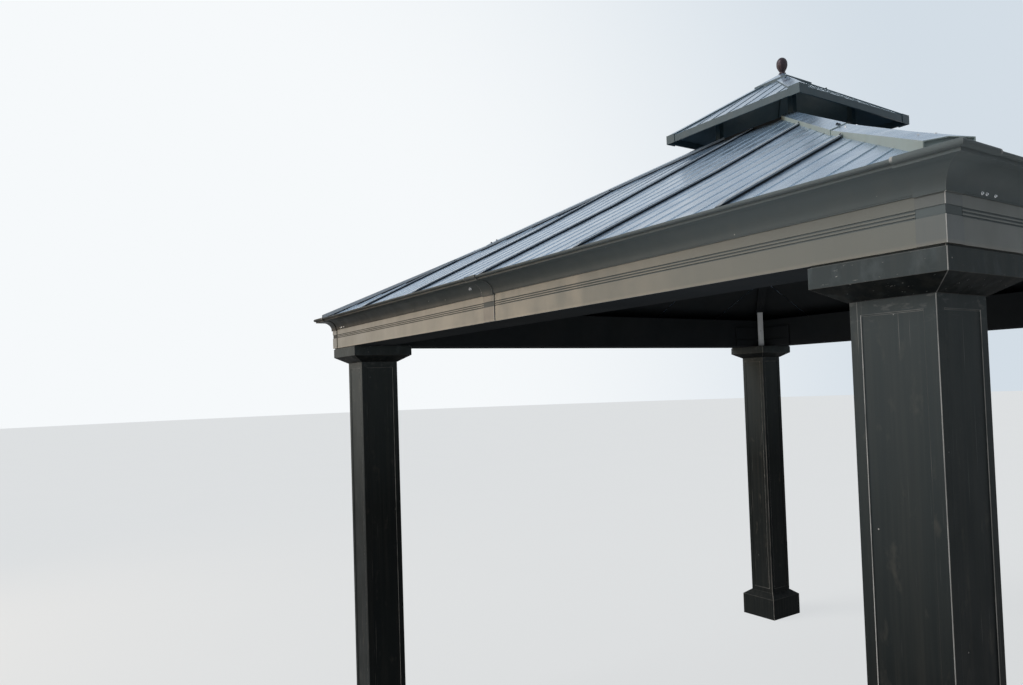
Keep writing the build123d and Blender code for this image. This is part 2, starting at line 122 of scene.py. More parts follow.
# The photograph's camera, solved from the gazebo's corners
CAMERA_PLACE = (2.5216, -3.1844, 1.8316)
CAMERA_YAW = -0.95
CAMERA_PITCH = 0.0345
CAMERA_ROLL = -0.035
CAMERA_FOCAL_PIXELS = 776.44
CAMERA_SHIFT_PIXELS = (60.0, 15.0)
PHOTO_WIDTH = 1023
SENSOR_WIDTH_MM = 36.0

# Lamps. A soft one has its name, place, target, size, colour and spread in degrees
KEY_PLACE = (-3.5, -8.0, 6.0)
SOFT_LAMPS = (
    ("warm", (-6.0, -6.0, 3.0), (-1.8, -1.8, 2.1), 3.0, "#FFDDB4", 180),
    ("low", (1.2, -2.6, 0.3), (1.3, -1.85, 2.2), 0.8, "#F4F8FF", 55),
    ("near", (2.9, -3.6, 2.1), (1.75, -1.75, 2.0), 0.6, "#FFFFFF", 180),
)
# Where the background starts to brighten toward -X and where it is brightest
SKY_TURN = (-0.45, -0.9)
FLOOR_GLOW_SHARE = 0.72

# Sockets of the Mix node that a colour goes through
MIX_FACTOR = 0
MIX_A = 6
MIX_B = 7
MIX_RESULT = 2


def linear(hex_colour):
    """An sRGB hex colour as linear red, green and blue."""
    channels = [int(hex_colour[i:i + 2], 16) / 255 for i in (1, 3, 5)]
    return tuple(c / 12.92 if c <= 0.04045 else ((c + 0.055) / 1.055) ** 2.4 for c in channels)


def shade(colour, factor=1.0):
    """A colour made darker or lighter, with an alpha of one."""
    return (*[min(1.0, c * factor) for c in colour], 1.0)


# Settings


def tint(name, description, hex_colour):
    """A colour setting."""
    return bpy.props.FloatVectorProperty(
        name=name, description=description, subtype="COLOR", default=linear(hex_colour), min=0, max=1)


def setting(name, description, default, **limits):
    """A number setting that isn't negative, with its unit or subtype."""
    return bpy.props.FloatProperty(
        name=name, description=description, default=default, **{"min": 0, **limits})


class GazeboPaint(bpy.types.PropertyGroup):
    """Colours and wear of the finishes."""

    column: tint("Column Coat", "Charcoal coat of the columns", "#202425")
    # Besides real chalking, laid as painted light on the columns' tops, the capitals and the cove
    chalk_and_light: tint("Chalk", "Charcoal coat where weather has chalked it", "#4B5254")
    frame: tint("Frame Coat", "Black coat of the beams and rafters", "#34383C")
    frieze: tint("Frieze Coat", "Taupe coat of the frieze", "#636661")
    cover: tint("Cover Coat", "Grey coat of the corner and joint covers", "#5A5F5E")
    # The cornice's one paint, drawn darker on the cove, the lip and the band's hollows as painted shade
    cove: tint("Cove Coat", "Dark coat of the cove and the lip", "#191D1C")
    trim: tint("Trim Coat", "Grey coat of the upper roof's fascia, caps and posts", "#394C53")
    # The same sheet as the caps' tops, drawn pale as a painted reflection
    cap_side: tint("Cap Side Coat", "Pale coat of the hip caps' side walls", "#8C9A98")
    # The ribs' sides drawn paler as painted light, also laid over the seams above their foot
    rib_side: tint("Rib Side Coat", "Thinner, brighter coat on the sides of ribs", "#CFDBE6")
    roof: tint("Roof Coat", "Blue-grey coat of the roof sheets", "#7D98B3")
    # Painted shade: the seams and the side walls of two hips drawn dark
    seam: tint("Seam Coat", "Dark coat of the standing seams", "#23282E")
    bronze: tint("Finial Coat", "Maroon-brown coat of the cast finial", "#3E3136")
    dust: tint("Dust", "Pale garden dust", "#8F887C")
    stain: tint("Stain", "Blue-grey water stain", "#6E787C")
    # This colour is also laid along edges as a painted highlight
    bare_and_highlight: tint("Bare Edge", "Metal that shows where an edge is rubbed", "#D0CFCC")
    # This amount also sets how strong the painted highlights along edges are
    wear_and_highlight: setting("Wear", "How much of the edges is rubbed bright", 0.85, max=1, subtype="FACTOR")


class GazeboEdges(bpy.types.PropertyGroup):
    """Rounding of the sheet's edges."""

    column: setting("Column Edge", "Edges of columns, capitals and rafters", 2.6 * MM, unit="LENGTH")
    cover: setting("Cover Edge", "Edges of the cornice's covers", 1.8 * MM, unit="LENGTH")
    moulding: setting("Moulding Edge", "The cornice's folds", 0.6 * MM, unit="LENGTH")
    roof: setting("Roof Edge", "Ribs, seams and caps", 1.0 * MM, unit="LENGTH")
    beam: setting("Beam Edge", "Edges of the beams", 2.0 * MM, unit="LENGTH")
    fold_angle: setting(
        "Fold Angle", "Folds sharper than this are rounded", math.radians(24), subtype="ANGLE")
    sharp_angle: setting(
        "Sharp Angle", "Folds sharper than this are rounded in full", math.radians(60), subtype="ANGLE")
    shallow_share: setting(
        "Shallow Share", "How much of the rounding a shallower fold gets", 0.4, max=1, subtype="FACTOR")
    steps: bpy.props.IntProperty(
        name="Steps", description="Facets of each rounding", default=2, min=1, max=6)


class GazeboScrews(bpy.types.PropertyGroup):
    """Hexagon washer-head screws."""

    head: setting("Head", "Width of the head across its corners", 9 * MM, unit="LENGTH")
    head_height: setting("Head Height", "Height of the head", 4.5 * MM, unit="LENGTH")
    washer: setting("Washer", "Diameter of the washer", 15 * MM, unit="LENGTH")
    washer_height: setting("Washer Height", "Thickness of the washer", 1.6 * MM, unit="LENGTH")
    seed: bpy.props.IntProperty(
        name="Seed", description="Fixes how far each head is turned", default=7)


class GazeboFinial(bpy.types.PropertyGroup):
    """The cast finial."""

    petals: bpy.props.IntProperty(
        name="Petals", description="Petals round the cup", default=9, min=3)
    petal_depth: setting(
        "Petal Depth", "How deep the lines between petals are", 2.2 * MM, unit="LENGTH")
    cup_share: setting(
        "Cup Share", "Height of the cup in the height of the egg", 0.5, max=1, subtype="FACTOR")


class GazeboStage(bpy.types.PropertyGroup):
    """Floor, background and light."""

    floor_radius: setting("Floor Radius", "Size of the round floor", 70.0, min=1, unit="LENGTH")
    floor: tint("Floor", "Colour of the floor", "#BDBEBD")
    background: tint("Background", "Colour seen behind the gazebo", "#D3DDE6")
    bright_sky: tint(
        "Bright Background", "Background toward the left, as seen and as reflected", "#F6F9FB")
    ambient: setting("Ambient", "Strength of the even light", 0.19)
    key_strength: setting("Key Light", "Strength of the broad light from the front left", 1.75)
    key_angle: setting("Key Width", "How broad the key light is", math.radians(38), subtype="ANGLE")
    warm_power: setting("Warm Light", "Power of the warm light from the left", 160.0, subtype="POWER")
    low_power: setting("Low Light", "Power of the light under the near cornice", 0.8, subtype="POWER")
    near_power: setting("Near Light", "Power of the light beside the camera", 1.4, subtype="POWER")


PROPERTY_GROUPS = {
    "gazebo_paint": GazeboPaint,
    "gazebo_edges": GazeboEdges,
    "gazebo_screws": GazeboScrews,
    "gazebo_finial": GazeboFinial,
    "gazebo_stage": GazeboStage,
}


# Finishes


class Nodes:
    """A node tree, with short ways to add to it."""

    def __init__(self, tree):
        self.tree = tree

    def add(self, kind, inputs=None, **properties):
        """A new node with its properties set and its sockets filled or linked."""
        node = self.tree.nodes.new(kind)
        for name, value in properties.items():
            setattr(node, name, value)
        for socket, value in (inputs or {}).items():
            self.put(node, socket, value)
        return node

    def put(self, node, socket, value):
        """Fills a node's socket with a value, or links another node's socket to it."""
        if isinstance(value, bpy.types.NodeSocket):
            self.tree.links.new(value, node.inputs[socket])
        else:
            node.inputs[socket].default_value = value

    def math(self, operation, first, second=0.0):
        """One sum of two values."""
        return self.add("ShaderNodeMath", {0: first, 1: second}, operation=operation).outputs[0]

    def times(self, first, second):
        """The product of two values."""
        return self.math("MULTIPLY", first, second)

    def most(self, first, second):
        """The greater of two values."""
        return self.math("MAXIMUM", first, second)

    def axes(self, vector):
        """A vector's parts, by the names X, Y and Z."""
        return self.add("ShaderNodeSeparateXYZ", {"Vector": vector}).outputs

    def spread(self, value, low, high, bottom=0.0, top=1.0, steps="LINEAR"):
        """A value whose range from low to high is spread from bottom to top."""
        return self.add("ShaderNodeMapRange", {
            "Value": value, "From Min": low, "From Max": high, "To Min": bottom, "To Max": top,
        }, clamp=True, interpolation_type=steps).outputs[0]

    def near(self, value, target, reach):
        """One where a value is at its target, falling to nothing a reach away."""
        distance = self.math("ABSOLUTE", self.math("SUBTRACT", value, target))
        return self.spread(distance, reach * 0.6, reach, 1.0, 0.0)

    def mixed(self, factor, first, second):
        """Two colours mixed by a factor."""
        sockets = {MIX_FACTOR: factor, MIX_A: first, MIX_B: second}
        return self.add("ShaderNodeMix", sockets, data_type="RGBA").outputs[MIX_RESULT]

    def blended(self, factor, first, second):
        """Two shader nodes mixed by a factor."""
        sockets = {0: factor, 1: first.outputs[0], 2: second.outputs[0]}
        return self.add("ShaderNodeMixShader", sockets).outputs[0]

    def seen_rays(self):
        """One for rays that show the picture or a reflection in it, and nothing for light."""
        path = self.add("ShaderNodeLightPath").outputs
        seen = self.most(path["Is Camera Ray"], path["Is Glossy Ray"])
        return self.most(seen, path["Is Transmission Ray"])


class Finish(Nodes):
    """A material in the making: its Principled shader, object coordinates and its colour so far."""

    def __init__(self, name):
        self.material = bpy.data.materials.new(name)
        self.material.use_nodes = True
        super().__init__(self.material.node_tree)
        self.tree.nodes.clear()
        self.paint = bpy.context.scene.gazebo_paint
        self.shader = self.add("ShaderNodeBsdfPrincipled")
        self.output = self.add("ShaderNodeOutputMaterial", {"Surface": self.shader.outputs[0]})
        self.place = self.add("ShaderNodeTexCoord").outputs["Object"]
        self.colour = None

    def stretched(self, spacing):
        """Object coordinates in units of a real spacing in metres, one for all axes or one for each."""
        spacings = spacing if isinstance(spacing, tuple) else [spacing] * 3
        scale = [1 / s for s in spacings]
        return self.add("ShaderNodeMapping", {"Vector": self.place, "Scale": scale}).outputs[0]

    def clouds(self, spacing, detail, low, high, bottom=0.0, top=1.0):
        """Noise of a real spacing, with its middle range from low to high spread from bottom to top."""
        texture = self.add("ShaderNodeTexNoise", {
            "Vector": self.stretched(spacing), "Scale": 1.0, "Detail": detail, "Roughness": 0.6})
        return self.spread(texture.outputs["Fac"], low, high, bottom, top)

    def heights(self, low, high, bottom=0.0, top=1.0):
        """A value that runs from bottom to top between two heights in metres."""
        return self.spread(self.axes(self.place)["Z"], low, high, bottom, top)

    def reaches(self):
        """How far a point lies from the middle, along X and along Y."""
        sides = self.axes(self.place)
        return [self.math("ABSOLUTE", sides[axis]) for axis in "XY"]

    def lay(self, factor, colour, tone=1.0):
        """Lays a colour of the paint settings over the colour so far."""
        self.colour = self.mixed(factor, self.colour, shade(getattr(self.paint, colour), tone))

    def finished(self, sockets):
        """The material, with the colour and other sockets of its shader set."""
        for socket, value in {"Base Color": self.colour, **sockets}.items():
            self.put(self.shader, socket, value)
        return self.material


def coated_metal(
        name, colour, gloss, sheen, streak, dust, wear_and_highlight=None, tone=1.0, metallic=0.0, peel=0.1,
        mottle=0.08, marks=None, worn_and_lit_line=None):
    """A coated sheet: mottled coat, wash streaks, settled dust, specks, worn edges with painted
    highlights, and orange peel.

    colour names one of the paint settings, which tone makes darker or lighter. gloss is the coat's
    roughness, sheen its specular level, and streak the spacing of the wash streaks in metres, one for
    all axes or one for each. wear is the paint settings' unless it is given, and sets the worn edges
    with their painted highlights. marks lays more marks over the coat before the dust, and
    worn_and_lit_line gives where edges are worn and painted with a highlight besides the mesh's own marked
    faces.
    """
    coat = Finish(name)
    full = getattr(coat.paint, colour)
    wear_and_highlight = coat.paint.wear_and_highlight if wear_and_highlight is None else wear_and_highlight
    # Patches a hand wide, where the coat weathered unevenly
    patches = coat.clouds(0.22, 3.0, 0.3, 0.7)
    coat.colour = coat.mixed(patches, shade(full, tone * (1 - mottle)), shade(full, tone * (1 + mottle)))
    if marks:
        marks(coat)
    # Rain streaks, long one way and a centimetre or two wide
    coat.lay(coat.clouds(streak, 4.0, 0.45, 0.8, 0.0, dust), "dust")
    # Dust that lies on what faces up
    normal = coat.add("ShaderNodeNewGeometry").outputs["Normal"]
    flat = coat.most(coat.axes(normal)["Z"], 0.0)
    coat.lay(coat.times(flat, coat.clouds(0.035, 5.0, 0.4, 0.75, 0.0, dust * 0.8)), "dust")
    # Pale specks 3 mm across, a few on each square metre
    cells = coat.add("ShaderNodeTexVoronoi", {"Vector": coat.stretched(0.075), "Scale": 1.0}, feature="F1")
    specks = coat.spread(cells.outputs["Distance"], 0.016, 0.026, 0.7 * wear_and_highlight, 0.0)
    # Edges worn bright and painted with a highlight, in lengths of a few centimetres
    own = coat.add("ShaderNodeAttribute", attribute_name="rubbed", attribute_type="GEOMETRY")
    rubbed = own.outputs["Fac"]
    lengths = coat.clouds((0.08, 0.08, 0.14), 3.0, 0.32, 0.6, 0.35, 1.0)
    if worn_and_lit_line:
        rubbed = coat.most(rubbed, worn_and_lit_line(coat))
    edge = coat.times(coat.times(rubbed, lengths), wear_and_highlight)
    coat.lay(coat.most(edge, specks), "bare_and_highlight")
    # The coat is duller in patches where dust lies
    dull = coat.clouds((0.09, 0.09, 0.16), 3.0, 0.3, 0.7, gloss - 0.05, gloss + 0.1)
    # Orange peel, drawn at 4 mm because the real millimetre of it is finer than the picture
    fine = coat.add("ShaderNodeTexNoise", {"Vector": coat.stretched(0.004), "Scale": 1.0, "Detail": 2.0})
    bump = coat.add(
        "ShaderNodeBump", {"Height": fine.outputs["Fac"], "Strength": peel, "Distance": 0.4 * MM})
    return coat.finished({
        "Roughness": dull, "Metallic": metallic, "Specular IOR Level": sheen, "Normal": bump.outputs[0]})


def corner_line(coat):
    """The folds where two sides of the gazebo meet, to either side of the corner: worn, with a painted
    highlight.
    """
    return coat.near(*coat.reaches(), 1.9 * MM)


def cover_lines(coat):
    """A cover's worn corner fold on the frieze, and a painted highlight on the right end of a joint cover.
    """
    sides = coat.axes(coat.place)
    x, y = coat.reaches()
    # The product tells a joint cover's right end from its left one on every side
    turned = coat.times(coat.times(sides["X"], sides["Y"]), coat.math("SUBTRACT", y, x))
    right = coat.math("LESS_THAN", turned, 0.0)
    end = coat.times(coat.near(coat.math("MINIMUM", x, y), JOINT_COVER_HALF, 2.5 * MM), right)
    return coat.most(corner_line(coat), coat.times(end, 0.8))


def lip_lines(coat):
    """Painted highlights, with some wear, on the corner covers' ends on the lip, and fainter ones
    on the ends of the joint covers and on the mitres.
    """
    across = coat.math("MINIMUM", *coat.reaches())
    end = coat.times(
        coat.near(across, COVER_START + 3 * MM, 4 * MM), coat.heights(LIP_TOP - 10 * MM, LIP_TOP - 5 * MM))
    joint = coat.times(coat.near(across, JOINT_COVER_HALF, 2.5 * MM), 0.4)
    mitre = coat.times(corner_line(coat), 0.05)
    return coat.most(coat.most(mitre, joint), end)


def capital_line(coat):
    """A capital's worn corner fold with a painted highlight: bright on the block, fainter on the taper
    under it.
    """
    block = coat.heights(TAPER_TOP - 1 * MM, TAPER_TOP + 1 * MM, 0.35, 1.0)
    return coat.times(corner_line(coat), block)


def column_marks(coat):
    """Painted light that grows toward the top, scuffs under the capital, smears, and thin upright
    scratches.
    """
    # Painted light from above, growing toward the top
    coat.lay(coat.heights(1.2, 2.0, 0.0, 0.75), "chalk_and_light")
    # Smears a few centimetres wide and longer up and down
    coat.lay(coat.clouds((0.05, 0.05, 0.11), 4.0, 0.6, 0.78, 0.0, 0.12), "dust")
    # Scuffs a centimetre or two wide in the last hand's width under the capital
    scuffs = coat.clouds((0.03, 0.03, 0.012), 3.0, 0.55, 0.75, 0.0, 0.17)
    high = coat.heights(TAPER_FOOT - 70 * MM, TAPER_FOOT - 5 * MM)
    coat.lay(coat.times(scuffs, high), "bare_and_highlight", 0.7)
    # Scratches 1.5 mm wide and up to a hand long; finer ones don't show in the picture
    coat.lay(coat.clouds((0.003, 0.003, 0.3), 1.0, 0.74, 0.8, 0.0, 0.22), "bare_and_highlight")


def capital_marks(coat):
    """Even painted light, cloudy blue-grey water stains and pale scuffs."""
    # Painted light, even over the whole capital
    coat.lay(0.75, "chalk_and_light")
    coat.lay(coat.clouds((0.045, 0.045, 0.07), 5.0, 0.5, 0.75, 0.0, 0.3), "stain")
    coat.lay(coat.clouds((0.02, 0.02, 0.006), 2.0, 0.7, 0.78, 0.0, 0.5), "bare_and_highlight", 0.8)


def taper_marks(coat):
    """Grey smears and white scuffs on the taper and along its foot."""
    coat.lay(coat.clouds((0.05, 0.05, 0.02), 4.0, 0.5, 0.8, 0.0, 0.25), "chalk_and_light")
    coat.lay(coat.clouds((0.014, 0.014, 0.004), 2.0, 0.68, 0.76, 0.0, 0.3), "bare_and_highlight", 0.7)


def frieze_marks(coat):
    """A brown line of dried dirt along the frieze's lower edge."""
    coat.lay(coat.heights(FRIEZE_FOOT + 3 * MM, FRIEZE_FOOT + 9 * MM, 0.3, 0.0), "dust", 0.9)


def cove_painted_light(coat):
    """Painted light on the cove, growing toward the front right corner."""
    sides = coat.axes(coat.place)
    along = coat.math("SUBTRACT", sides["X"], sides["Y"])
    # Painted light in the pale charcoal colour, stronger toward the front right
    coat.lay(coat.spread(along, 0.4, 3.3, 0.0, 0.9), "chalk_and_light", 1.85)


def seam_shade_and_light(coat):
    """The seams keep their dark coat near the sheet as painted shade, and are lightened above it as
    painted light.
    """
    half = coat.most(*coat.reaches())
    slopes = [
        coat.math("SUBTRACT", roof_height(BEND_HALF) + slope * BEND_HALF, coat.times(half, slope))
        for slope in (LOWER_SLOPE, UPPER_SLOPE)
    ]
    lift = coat.math("SUBTRACT", coat.axes(coat.place)["Z"], coat.most(*slopes))
    coat.lay(coat.spread(lift, SEAM_SHADE_HEIGHT - 1 * MM, SEAM_SHADE_HEIGHT + 1 * MM), "rib_side", 0.65)


def column_coat():
    """Powder-coated aluminium, satin charcoal: dark, with painted light toward the top
    and painted highlights on its worn folds.
    """
    return coated_metal(
        "charcoal_powder_coat", "column", 0.46, 0.03, (0.02, 0.02, 0.7), 0.05,
        marks=column_marks, worn_and_lit_line=corner_line)


def capital_coat():
    """The same charcoal powder coat, evenly lightened as painted light, and cloudy with water stains
    under the eaves.
    """
    return coated_metal(
        "stained_powder_coat", "column", 0.5, 0.03, (0.03, 0.03, 0.2), 0.06,
        marks=capital_marks, worn_and_lit_line=capital_line)


def shaded_taper_coat():
    """The same powder coat under the capitals, without the blocks' painted light and at half its colour
    as painted shade: nearly black, with pale scuffs.
    """
    return coated_metal(
        "sooty_powder_coat", "column", 0.55, 0.02, (0.03, 0.03, 0.2), 0.05, tone=0.5,
        marks=taper_marks, worn_and_lit_line=capital_line)


def frame_coat():
    """Powder-coated aluminium, matt black: deep and even, since rain and hands don't reach it."""
    return coated_metal("black_powder_coat", "frame", 0.8, 0.0, 0.3, 0.03, 0.2)


def frieze_coat():
    """Coil-coated aluminium, taupe: a soft sheen that grows toward the far end of a side."""
    return coated_metal(
        "taupe_coil_coat", "frieze", 0.42, 0.4, (0.04, 0.04, 0.4), 0.06, 0.35, mottle=0.03,
        marks=frieze_marks)


def cover_coat(place, tone):
    """Coil-coated aluminium, grey: the covers weathered cooler than the frieze, with worn ends
    that carry painted highlights.

    tone makes the covers of one place darker or lighter.
    """
    return coated_metal(
        f"grey_{place}_cover_coat", "cover", 0.42, 0.4, (0.04, 0.04, 0.4), 0.08, tone=tone,
        marks=frieze_marks, worn_and_lit_line=cover_lines)


def cove_shade_coat():
    """Coil-coated aluminium, the cornice's paint drawn dark bronze-grey as painted shade: matt in the
    hollow, lighter toward the front right as painted light, with a painted highlight on the lip.
    """
    return coated_metal(
        "dark_cove_coat", "cove", 0.5, 0.08, (0.05, 0.05, 0.1), 0.06, marks=cove_painted_light,
        worn_and_lit_line=lip_lines)


def trim_coat():
    """Coil-coated steel, blue-grey: a flat even colour with a cool sheen."""
    return coated_metal("grey_coil_coat", "trim", 0.42, 0.35, (0.05, 0.05, 0.3), 0.08, 0.4)


def lit_cap_side_coat():
    """Coil-coated steel, pale sage grey as a painted reflection: the hip caps' side walls, dustier
    than their tops.
    """
    return coated_metal("sage_coil_coat", "cap_side", 0.42, 0.35, (0.08, 0.08, 0.03), 0.2, 0.5)


def seam_coat():
    """Coil-coated steel, dark slate as painted shade: the standing seams, dull where water dries."""
    return coated_metal("slate_coil_coat", "seam", 0.5, 0.06, 0.05, 0.06, 0.3, marks=seam_shade_and_light)


def roof_coat(run):
    """Coil-coated steel roof sheet, blue-grey with a metal fleck: wide soft reflections of the sky.

    run is the axis that the slope falls along, which the streaks follow.
    """
    streak = {"x": (0.8, 0.03, 0.8), "y": (0.03, 0.8, 0.8)}[run]
    return coated_metal(
        f"blue_grey_roof_coat_{run}", "roof", 0.2, 0.9, streak, 0.12, 0.2, metallic=0.35, peel=0.0,
        mottle=0.05)


def lit_rib_side_coat():
    """Coil-coated steel on the sides of ribs, drawn paler and brighter than the flat sheet as painted
    light.
    """
    return coated_metal(
        "stretched_roof_coat", "rib_side", 0.25, 0.8, 0.06, 0.05, 0.2, metallic=0.9, peel=0.0,
        mottle=0.04)


def mill_aluminium():
    """Bare extruded aluminium: bright, with fine die lines along its length."""
    metal = Finish("mill_aluminium")
    tone = metal.clouds((0.004, 0.004, 0.3), 2.0, 0.3, 0.7)
    metal.colour = metal.mixed(tone, shade(linear("#DDE0E2")), shade(linear("#F0F2F3")))
    lines = metal.clouds((0.002, 0.002, 0.4), 3.0, 0.3, 0.7, 0.28, 0.48)
    return metal.finished({"Roughness": lines, "Metallic": 0.45})


def zinc_plate():
    """Bright zinc plate on steel screws: pale, a little cloudy."""
    metal = Finish("bright_zinc_plate")
    tone = metal.clouds(0.004, 2.0, 0.3, 0.7)
    metal.colour = metal.mixed(tone, shade(linear("#B9BABB")), shade(linear("#E4E5E6")))
    return metal.finished({"Roughness": metal.clouds(0.01, 2.0, 0.3, 0.7, 0.25, 0.5), "Metallic": 0.9})


def cast_bronze_coat():
    """Cast aluminium with a red-brown coat: dark in its hollows and worn lighter on its high places."""
    coat = Finish("red_brown_casting_coat")
    pointiness = coat.add("ShaderNodeNewGeometry").outputs["Pointiness"]
    high = coat.times(coat.spread(pointiness, 0.47, 0.56), coat.clouds(0.006, 3.0, 0.35, 0.7))
    coat.colour = coat.mixed(high, shade(coat.paint.bronze, 0.6), shade(coat.paint.bronze, 1.9))
    return coat.finished({"Roughness": coat.clouds(0.012, 2.0, 0.3, 0.7, 0.3, 0.5), "Metallic": 0.5})


# Meshes


def linked(name, data):
    """A new object in the scene."""
    thing = bpy.data.objects.new(name, data)
    bpy.context.scene.collection.objects.link(thing)
    return thing


def mesh_of(shape, name, *materials):
    """A mesh with its materials from a bmesh, which is freed."""
    mesh = bpy.data.meshes.new(name)
    shape.to_mesh(mesh)
    shape.free()
    for material in materials:
        mesh.materials.append(material)
    return mesh


def skin(shape, rings):
    """Faces from each closed ring of points to the next, and over the first and the last."""
    for low, high in zip(rings, rings[1:]):
        for k in range(len(low)):
            n = (k + 1) % len(low)
            shape.faces.new((low[k], low[n], high[n], high[k]))
    shape.faces.new(list(reversed(rings[0])))
    shape.faces.new(rings[-1])


def keep(mesh, name):
    """An object for a finished mesh that rides on the gazebo."""
    piece = linked(name, mesh)
    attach(piece, "root")
    return piece


def evaluated_mesh(piece, name):
    """A plain mesh of a draft with its modifiers. The draft is then removed."""
    graph = bpy.context.evaluated_depsgraph_get()
    mesh = bpy.data.meshes.new_from_object(piece.evaluated_get(graph), depsgraph=graph)
    mesh.name = name
    piece.modifiers.clear()
    draft = piece.data
    bpy.data.objects.remove(piece)
    bpy.data.meshes.remove(draft)
    return mesh


def rounded_copy(node, edge, materials, pick=None, rub=None):
    """A copy of a CAD node with its folds rounded, which stands for the node.

    pick gives a face's material by its centre and normal, and rub how much of a rounding's coat is worn
    away and painted with a highlight.
    """
    edges = bpy.context.scene.gazebo_edges
    shape = bmesh.new()
    shape.from_mesh(frame["nodes"][node].data)
    mark = shape.faces.layers.float.new("rubbed")
    bmesh.ops.remove_doubles(shape, verts=shape.verts, dist=0.01 * MM)
    bmesh.ops.dissolve_limit(
        shape, angle_limit=math.radians(0.5), verts=shape.verts, edges=shape.edges)
    passes = (
        (edges.fold_angle, edges.sharp_angle, edge * edges.shallow_share),
        (edges.sharp_angle, math.pi, edge),
    )
    for least, most, width in passes:
        folds = [
            e for e in shape.edges
            if len(e.link_faces) == 2 and least < e.calc_face_angle() <= most
        ]
        rounded = bmesh.ops.bevel(
            shape, geom=folds, offset=width, offset_type="OFFSET", segments=edges.steps, profile=0.5,
            affect="EDGES", clamp_overlap=True)
        for face in rounded["faces"]:
            face.normal_update()
            face[mark] = rub(face.calc_center_median(), face.normal) if rub else 0.0
    for face in shape.faces:
        face.smooth = True
        if pick:
            face.material_index = pick(face.calc_center_median(), face.normal)
    draft = linked(node + "_draft", mesh_of(shape, node + "_draft", *materials))
    weighted = draft.modifiers.new("even_normals", "WEIGHTED_NORMAL")
    weighted.mode = "FACE_AREA"
    weighted.weight = 80
    name = node + "_finished"
    piece = keep(evaluated_mesh(draft, name), name)
    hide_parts(node)
    return piece


def reach(centre):
    """How far out from the middle a point lies, on whichever side it is."""
    return max(abs(centre.x), abs(centre.y))


def sideways(centre, normal):
    """How far a face looks along the side of the gazebo that it is on."""
    return abs(normal.x) if abs(centre.y) > abs(centre.x) else abs(normal.y)


def underside(centre, normal):
    """The second material on whatever faces down."""
    return 1 if normal.z < DOWNWARD else 0


def roof_height(half):
    """Height of the top of the lower roof's panels at a distance out from the middle."""
    if half > BEND_HALF:
        return EAVES_TOP + LOWER_SLOPE * (EAVES_HALF - half)
    return EAVES_TOP + LOWER_SLOPE * (EAVES_HALF - BEND_HALF) + UPPER_SLOPE * (BEND_HALF - half)


def panel_faces(centre, normal):
    """The second material on undersides and cut edges and the third on the sides of ribs."""
    if normal.z < DOWNWARD or centre.z < roof_height(reach(centre)) - 1 * MM:
        return 1
    return 2 if sideways(centre, normal) > RIB_SIDE else 0


def upper_faces(centre, normal):
    """The second material on whatever doesn't face the sky and the third on the sides of ribs."""
    if normal.z < 0.1:
        return 1
    return 2 if sideways(centre, normal) > RIB_SIDE else 0


def cap_faces(centre, normal):
    """The second material on whatever faces down and the third on side walls."""
    if normal.z < DOWNWARD:
        return 1
    return 0 if normal.z > SKYWARD else 2


def hip_faces(centre, normal):
    """As cap_faces, with a fourth for the side walls of the front left and back right hips, drawn
    darker as painted shade.
    """
    part = cap_faces(centre, normal)
    return 3 if part == 2 and centre.x * centre.y > 0 else part


def moulding_faces(face_half):
    """Picks the second material, drawn darker as painted shade, for the cove over a face and for the
    hollows of the face's band.
    """
    def pick(centre, normal):
        hollow = BAND_FOOT - 1 * MM < centre.z < BAND_TOP + 1 * MM and reach(centre) < face_half - 0.5 * MM
        return 1 if hollow or centre.z > FRIEZE_TOP - 0.5 * MM else 0
    return pick


def set_inputs(modifier, tree, values):
    """Sets a Geometry Nodes modifier's inputs by the names of the tree's sockets."""
    identifiers = {
        item.name: item.identifier
        for item in tree.interface.items_tree
        if item.item_type == "SOCKET" and item.in_out == "INPUT"
    }
    for name, value in values.items():
        modifier[identifiers[name]] = value


